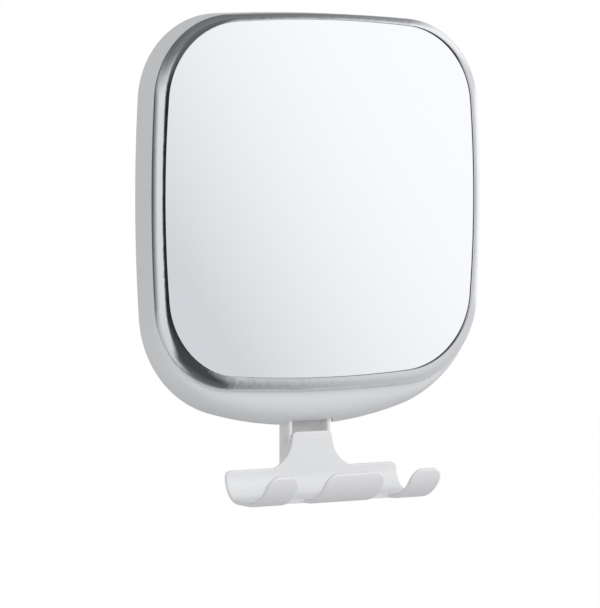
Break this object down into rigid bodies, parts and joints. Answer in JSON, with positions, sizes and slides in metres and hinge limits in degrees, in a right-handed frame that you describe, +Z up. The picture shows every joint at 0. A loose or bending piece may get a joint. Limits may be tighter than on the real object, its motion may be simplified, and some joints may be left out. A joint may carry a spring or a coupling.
{
  "type": "fogless shower mirror",
  "caption": "Bowed-square anti-fog mirror in a chromed bezel and grey housing, hung on a suction bracket whose neck carries a razor tray with slots.",
  "frame": {"origin": "middle of the face that the suction cup presses on the wall, in line with the middle of the mirror", "axes": "+Z up, +Y into the wall, so the mirror looks along -Y; +X to the right of a person who looks into the mirror"},
  "size_m": [0.203, 0.0637, 0.2602],
  "materials": {
    "mirror": "polished silvered glass",
    "bezel_chrome": "satin chrome plate",
    "housing_plastic": "satin moulded",
    "bracket_plastic": "satin moulded",
    "tray_plastic": "semi-gloss moulded",
    "inner_plastic": "moulded",
    "cap_plastic": "gloss moulded",
    "washer_plastic": "natural acetal",
    "seal_rubber": "soft moulded",
    "cup_rubber": "soft translucent grey",
    "foam": "closed-cell foam",
    "screw_steel": "stainless",
    "nut_brass": "machined"
  },
  "bodies": {
    "wall_bracket": {"wall_bracket": "bracket_plastic", "suction_cup": "cup_rubber", "hanger_studs": "screw_steel", "tray_pins": "screw_steel", "thrust_washer": "washer_plastic"},
    "mirror_head": {"mirror_glass": "mirror", "glass_gasket": "seal_rubber", "backing_pad": "foam", "chrome_bezel": "bezel_chrome", "mirror_carrier": "housing_plastic", "carrier_screws": "screw_steel", "hanger_plate": "inner_plastic", "hanger_screws": "screw_steel", "wall_bumpers": "seal_rubber", "rear_housing": "housing_plastic"},
    "razor_tray": {"razor_tray": "tray_plastic"},
    "lock_dial": {"lock_dial": "inner_plastic", "dial_nut": "nut_brass", "dial_cap": "cap_plastic"},
    "cup_stud": {"cup_stud": "screw_steel"}
  },
  "joints": [
    {"name": "mirror_lift", "type": "slide", "parent": "wall_bracket", "child": "mirror_head", "axis": [0, 0, 1], "range_m": [0, 0.025]},
    {"name": "tray_lift", "type": "slide", "parent": "wall_bracket", "child": "razor_tray", "axis": [0, 0, 1], "range_m": [0, 0.005]},
    {"name": "dial_turn", "type": "hinge", "parent": "wall_bracket", "child": "lock_dial", "pos_m": [0, -0.0175, 0], "axis": [0, -1, 0], "range_deg": [0, 180]},
    {"name": "stud_push", "type": "slide", "parent": "wall_bracket", "child": "cup_stud", "axis": [0, 1, 0], "range_m": [0, 0.0025], "deforming": ["suction_cup"]}
  ],
  "couplings": [
    {"joint": "stud_push", "follows": "dial_turn", "m_per_rad": 0.000795}
  ]
}
